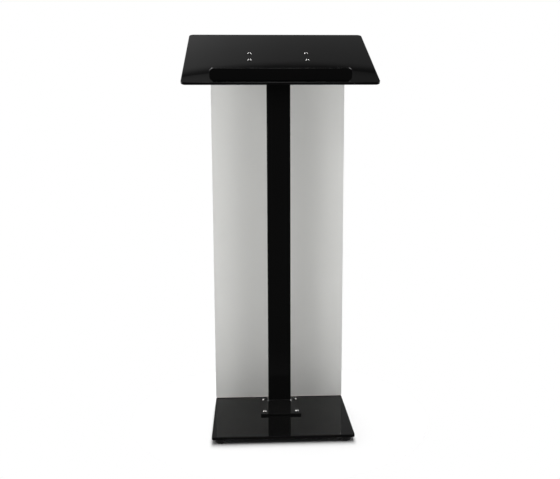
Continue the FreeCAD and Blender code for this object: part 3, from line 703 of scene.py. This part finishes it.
BOARD_SCREW_GLINTS = {
    "glint_behind": ((0.0, 2.6, 2.0), (0.0, 0.0, 1.08), 4.0, 1.6, 7.0),
}
WELD_GLINTS = {
    "weld_glint_left": (*HIGH_LEFT, 90.0),
    "weld_glint_right": (*HIGH_RIGHT, 50.0),
}
METAL_SLOTS = ("stainless_steel", "plated_steel", "spacer_aluminium")


def other_hardware():
    """The metal nodes, apart from the reading board's screws."""
    return [
        frame["nodes"][subpart["node"]]
        for subpart in frame["record"]["subparts"]
        if subpart["material_slot"] in METAL_SLOTS
        and subpart["node"] != "reading_board_screws"
    ]


def base_and_feet():
    """The pieces that shade the floor."""
    return [
        node for name, node in frame["nodes"].items()
        if name == "base_plate" or name.startswith("rubber_foot")
    ]


def build_lights(stage, beads):
    board_screws = linked_collection(
        "board_screw_heads", [frame["nodes"]["reading_board_screws"]])
    welds = linked_collection("welds", beads)
    metal = linked_collection("other_hardware", other_hardware())

    # The black faces don't mirror the side lamps, which light the frosted panel.
    for name, setting in SIDE_LAMPS.items():
        lamp = add_area_light(name, *setting)
        lamp.visible_glossy = False
        lamp.light_linking.receiver_collection = lit_collection(name + "_lights", [stage])
    overhead = add_area_light("overhead", *OVERHEAD_LAMP)
    fade_towards_edges(overhead)
    overhead.light_linking.receiver_collection = lit_collection(
        "overhead_lights", [stage, board_screws, welds])
    # Glints on the metal and on the welds, from lamps that only gloss shows.
    for lamps, receivers in (
        (METAL_GLINTS, metal),
        (BOARD_SCREW_GLINTS, board_screws),
        (WELD_GLINTS, welds),
    ):
        for name, setting in lamps.items():
            lamp = add_area_light(name, *setting)
            lamp.visible_diffuse = False
            lamp.visible_transmission = False
            lamp.light_linking.receiver_collection = receivers
    # Only the base and its feet shade the floor's own light, as if the stand were cut out.
    floor_light = add_area_light("floor_light", *FLOOR_LAMP)
    floor_light.light_linking.receiver_collection = stage
    floor_light.light_linking.blocker_collection = linked_collection(
        "floor_shadow_casters", base_and_feet())


# Brightness of the room behind the stand by the sine of the elevation: a lit wall, and a
# lamp bank above it.
ROOM_BEHIND = (
    (0.00, 1.35),
    (0.10, 1.25),
    (0.25, 0.90),
    (0.32, 0.45),
    (0.43, 0.34),
    (0.47, 1.30),
    (0.60, 1.30),
    (0.65, 0.32),
    (0.74, 0.30),
    (1.00, 0.30),
)
# Share of that brightness around the top of the lamp bank, by the same measure: the bank's
# upper edge, a dark gap, and the ceiling.
LAMP_EDGE = (
    (0.660, 1.02),
    (0.682, 0.98),
    (0.695, 0.83),
    (0.7035, 0.76),
    (0.7073, 0.72),
    (0.7092, 0.55),
    (0.7110, 0.30),
    (0.7119, 0.20),
    (0.7128, 0.15),
    (0.7140, 0.12),
    (0.7143, 0.31),
    (0.7155, 0.39),
    (0.7183, 0.48),
    (0.7200, 0.51),
    (0.740, 0.56),
)
# Brightness of the room before the stand, by the same measure.
ROOM_BEFORE = (
    (0.00, 0.07),
    (0.50, 0.06),
    (0.80, 0.06),
    (1.00, 0.16),
)
# The lamp bank fades from left to right: share of its brightness by half of the direction's
# sideways part plus a half.
LAMPS_SIDEWAYS = (
    (0.30, 1.25),
    (0.4635, 1.0),
    (0.4900, 0.76),
    (0.5225, 0.60),
    (0.5500, 0.53),
    (0.577, 0.50),
    (0.75, 0.45),
)
# How much the ceiling's height rises with the direction's sideways part.
CEILING_SKEW = 0.0444
# The elevations' sines over which the sideways fade sets in, and the depth part of the
# direction over which the room before the stand blends into the room behind it.
FADE_HEIGHTS = (0.45, 0.62)
BLEND_DEPTHS = (-0.25, 0.25)


def build_world():
    """The room that the gloss pieces mirror and that lights the stand from all round."""
    world = bpy.data.worlds.new("studio")
    bpy.context.scene.world = world
    world.use_nodes = True
    tree = world.node_tree
    tree.nodes.clear()

    def add(kind, **settings):
        node = tree.nodes.new(kind)
        for name, setting in settings.items():
            setattr(node, name, setting)
        return node

    def calculate(operation, *items):
        node = add("ShaderNodeMath", operation=operation)
        for index, item in enumerate(items):
            if isinstance(item, (int, float)):
                node.inputs[index].default_value = item
            else:
                tree.links.new(item, node.inputs[index])
        return node.outputs["Value"]

    def rescale(source, low, high, interpolation="LINEAR"):
        node = add("ShaderNodeMapRange", interpolation_type=interpolation)
        node.inputs["From Min"].default_value = low
        node.inputs["From Max"].default_value = high
        tree.links.new(source, node.inputs["Value"])
        return node.outputs["Result"]

    def smooth_step(source, low, high):
        return rescale(source, low, high, "SMOOTHSTEP")

    def brightness(source, stops):
        node = add("ShaderNodeValToRGB")
        fill_ramp(node.color_ramp, stops)
        tree.links.new(source, node.inputs["Fac"])
        return node.outputs["Color"]

    direction = add("ShaderNodeSeparateXYZ")
    tree.links.new(add("ShaderNodeTexCoord").outputs["Generated"], direction.inputs[0])
    x, y, z = direction.outputs
    height = calculate("MULTIPLY_ADD", x, CEILING_SKEW, z)
    sideways = brightness(calculate("MULTIPLY_ADD", x, 0.5, 0.5), LAMPS_SIDEWAYS)
    upper = smooth_step(z, *FADE_HEIGHTS)
    fade = calculate("MULTIPLY_ADD", calculate("SUBTRACT", sideways, 1.0), upper, 1.0)
    low, high = LAMP_EDGE[0][0], LAMP_EDGE[-1][0]
    edge_stops = [((stop - low) / (high - low), share) for stop, share in LAMP_EDGE]
    edge = brightness(rescale(height, low, high), edge_stops)
    room = calculate("MULTIPLY", brightness(height, ROOM_BEHIND), edge)
    behind = calculate("MULTIPLY", room, fade)
    before = brightness(z, ROOM_BEFORE)
    side = smooth_step(y, *BLEND_DEPTHS)
    mix = add("ShaderNodeMix", data_type="FLOAT")
    tree.links.new(side, mix.inputs["Factor"])
    tree.links.new(before, mix.inputs["A"])
    tree.links.new(behind, mix.inputs["B"])
    background = add("ShaderNodeBackground")
    tree.links.new(mix.outputs["Result"], background.inputs["Strength"])
    output = add("ShaderNodeOutputWorld")
    tree.links.new(background.outputs[0], output.inputs["Surface"])


def build_camera():
    """The camera, placed from the base plate's front edge and top."""
    base_low, base_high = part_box("base_plate")
    data = bpy.data.cameras.new("camera")
    data.lens = CAMERA_LENS_MM
    data.sensor_width = CAMERA_SENSOR_MM
    camera = bpy.data.objects.new("camera", data)
    bpy.context.scene.collection.objects.link(camera)
    turn = (
        Matrix.Rotation(-CAMERA_YAW, 4, "Z")
        @ Matrix.Rotation(math.pi / 2 + CAMERA_PITCH, 4, "X")
        @ Matrix.Rotation(CAMERA_ROLL, 4, "Z")
    )
    place = Vector((
        CAMERA_SIDE,
        base_low.y - CAMERA_BEFORE_BASE,
        base_high.z + CAMERA_ABOVE_BASE,
    ))
    camera.matrix_world = Matrix.Translation(place) @ turn
    bpy.context.scene.camera = camera


# The stand.

MATERIALS = {
    "black_acrylic": make_black_acrylic(),
    "base_coating": make_base_coating(),
    "post_coating": make_post_coating(),
    "frosted_acrylic": make_frosted_acrylic(),
    "stainless_steel": make_stainless(),
    "plated_steel": make_plated_steel(),
    "spacer_aluminium": make_spacer_aluminium(),
    "washer_nylon": make_nylon(),
    "foot_rubber": make_rubber(),
}


def dress_cad_nodes():
    """Give every CAD node the detailed material of its slot in the record."""
    for subpart in frame["record"]["subparts"]:
        node = frame["nodes"][subpart["node"]]
        node.data.materials.clear()
        node.data.materials.append(MATERIALS[subpart["material_slot"]])
    threaded = make_stainless("stainless_steel_threaded", board_screw_threads)
    frame["nodes"]["reading_board_screws"].data.materials[0] = threaded


def build_welds():
    """Rippled beads in place of the two plain weld nodes; gives the beads."""
    # The coat pools on the beads, so it's glossier there.
    glossier = make_post_coating("post_coating_on_welds", 1.40)
    beads = (
        (build_foot_bead(), "post_foot_weld"),
        (build_head_bead(), "post_head_weld"),
    )
    for bead, node in beads:
        bead.data.materials.append(glossier)
        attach(bead, "root")
        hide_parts(node)
    return [bead for bead, node in beads]


dress_cad_nodes()
weld_beads = build_welds()
build_world()
build_lights(build_stage(), weld_beads)
build_camera()
bpy.context.scene.view_settings.view_transform = "Standard"
